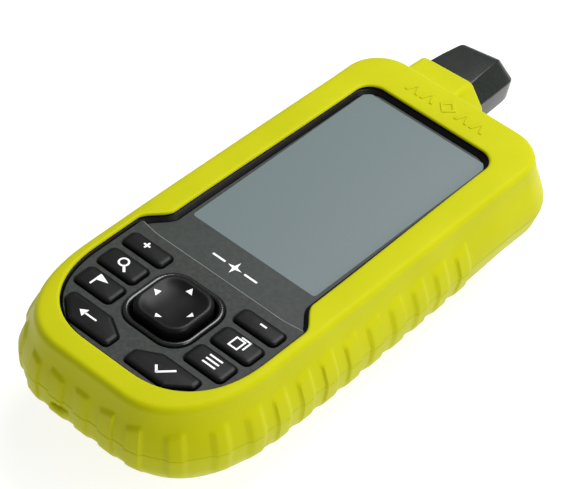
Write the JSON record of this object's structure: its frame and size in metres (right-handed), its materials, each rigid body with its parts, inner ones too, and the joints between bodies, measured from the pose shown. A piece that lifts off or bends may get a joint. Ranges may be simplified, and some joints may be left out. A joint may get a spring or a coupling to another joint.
{
  "type": "handheld gps unit",
  "caption": "Handheld GPS unit with a portrait display, rubber keys, rocker and stub antenna, in a ribbed soft yellow silicone cover.",
  "frame": {"origin": "middle of the bounding box on the surface that the unit lies on, on its back", "axes": "+Y along the unit towards the antenna, +Z out of the display, +X to the right of the display"},
  "size_m": [0.0708, 0.1653, 0.0386],
  "materials": {
    "silicone": "matt soft-touch silicone",
    "black_plastic": "fine textured",
    "panel_plastic": "fine textured",
    "key_rubber": "satin moulded rubber",
    "lens": "satin anti-glare with a printed border",
    "display": "grey-blue display",
    "light_guide": "clear",
    "seal_rubber": "matt",
    "steel": "plated",
    "circuit_board": "solder mask",
    "cell_wrap": "printed-free wrap",
    "antenna_plastic": "fine textured",
    "ceramic": "ceramic core"
  },
  "bodies": {
    "root": {"silicone_cover": "silicone", "front_housing": "black_plastic", "rear_housing": "black_plastic", "case_seal": "seal_rubber", "lens_window": "lens", "display_gasket": "seal_rubber", "display_panel": "display", "display_backlight": "light_guide", "key_panel": "panel_plastic", "keypad_membrane": "key_rubber", "dome_sheet": "light_guide", "rocker_ring": "black_plastic", "main_circuit_board": "circuit_board", "shield_can": "steel", "buzzer": "black_plastic", "display_connector": "black_plastic", "usb_socket": "steel", "antenna_housing": "antenna_plastic", "antenna_core": "ceramic", "battery_left": "cell_wrap", "battery_right": "cell_wrap", "battery_spring_left": "steel", "battery_spring_right": "steel", "contact_plate_lower": "steel", "contact_plate_upper": "steel", "mounting_spine": "black_plastic", "housing_screw_1": "steel", "housing_screw_2": "steel", "housing_screw_3": "steel", "housing_screw_4": "steel"},
    "zoom_in_key": {"zoom_in_key": "key_rubber"},
    "zoom_out_key": {"zoom_out_key": "key_rubber"},
    "find_key": {"find_key": "key_rubber"},
    "page_key": {"page_key": "key_rubber"},
    "mark_key": {"mark_key": "key_rubber"},
    "menu_key": {"menu_key": "key_rubber"},
    "quit_key": {"quit_key": "key_rubber"},
    "enter_key": {"enter_key": "key_rubber"},
    "rocker_gimbal": {"rocker_gimbal": "steel"},
    "rocker_cap": {"rocker_cap": "key_rubber"},
    "power_key": {"power_key": "key_rubber"},
    "battery_door": {"battery_door": "black_plastic", "door_seal": "seal_rubber"},
    "latch_spindle": {"latch_spindle": "steel"},
    "latch_d_ring": {"latch_d_ring": "steel"},
    "usb_weather_cap": {"usb_weather_cap": "seal_rubber"}
  },
  "joints": [
    {"name": "zoom_in_key_press", "type": "slide", "parent": "root", "child": "zoom_in_key", "axis": [0, 0, -1], "range_m": [0, 0.0005], "stiffness_N_per_m": 800},
    {"name": "zoom_out_key_press", "type": "slide", "parent": "root", "child": "zoom_out_key", "axis": [0, 0, -1], "range_m": [0, 0.0005], "stiffness_N_per_m": 800},
    {"name": "find_key_press", "type": "slide", "parent": "root", "child": "find_key", "axis": [0, 0, -1], "range_m": [0, 0.0005], "stiffness_N_per_m": 800},
    {"name": "page_key_press", "type": "slide", "parent": "root", "child": "page_key", "axis": [0, 0, -1], "range_m": [0, 0.0005], "stiffness_N_per_m": 800},
    {"name": "mark_key_press", "type": "slide", "parent": "root", "child": "mark_key", "axis": [0, 0, -1], "range_m": [0, 0.0005], "stiffness_N_per_m": 800},
    {"name": "menu_key_press", "type": "slide", "parent": "root", "child": "menu_key", "axis": [0, 0, -1], "range_m": [0, 0.0005], "stiffness_N_per_m": 800},
    {"name": "quit_key_press", "type": "slide", "parent": "root", "child": "quit_key", "axis": [0, 0, -1], "range_m": [0, 0.0005], "stiffness_N_per_m": 800},
    {"name": "enter_key_press", "type": "slide", "parent": "root", "child": "enter_key", "axis": [0, 0, -1], "range_m": [0, 0.0005], "stiffness_N_per_m": 800},
    {"name": "rocker_up_down", "type": "hinge", "parent": "root", "child": "rocker_gimbal", "pos_m": [0, -0.0509, 0.034], "axis": [1, 0, 0], "range_deg": [-4, 4], "stiffness_Nm_per_rad": 0.05},
    {"name": "rocker_left_right", "type": "hinge", "parent": "rocker_gimbal", "child": "rocker_cap", "pos_m": [0, -0.0509, 0.034], "axis": [0, 1, 0], "range_deg": [-4, 4], "stiffness_Nm_per_rad": 0.05},
    {"name": "power_key_press", "type": "slide", "parent": "root", "child": "power_key", "axis": [1, 0, 0], "range_m": [0, 0.0005], "stiffness_N_per_m": 800},
    {"name": "battery_door_lift", "type": "slide", "parent": "root", "child": "battery_door", "axis": [0, 0, -1], "range_m": [0, 0.012]},
    {"name": "latch_turn", "type": "hinge", "parent": "battery_door", "child": "latch_spindle", "pos_m": [0, -0.0526, 0.002], "axis": [0, 0, 1], "range_deg": [0, 90]},
    {"name": "d_ring_fold", "type": "hinge", "parent": "latch_spindle", "child": "latch_d_ring", "pos_m": [0, -0.0526, 0.00095], "axis": [-1, 0, 0], "range_deg": [0, 90]},
    {"name": "usb_cap_open", "type": "hinge", "parent": "root", "child": "usb_weather_cap", "pos_m": [0, 0.0372, 0.0016], "axis": [-1, 0, 0], "range_deg": [0, 100], "stiffness_Nm_per_rad": 0.0005}
  ]
}
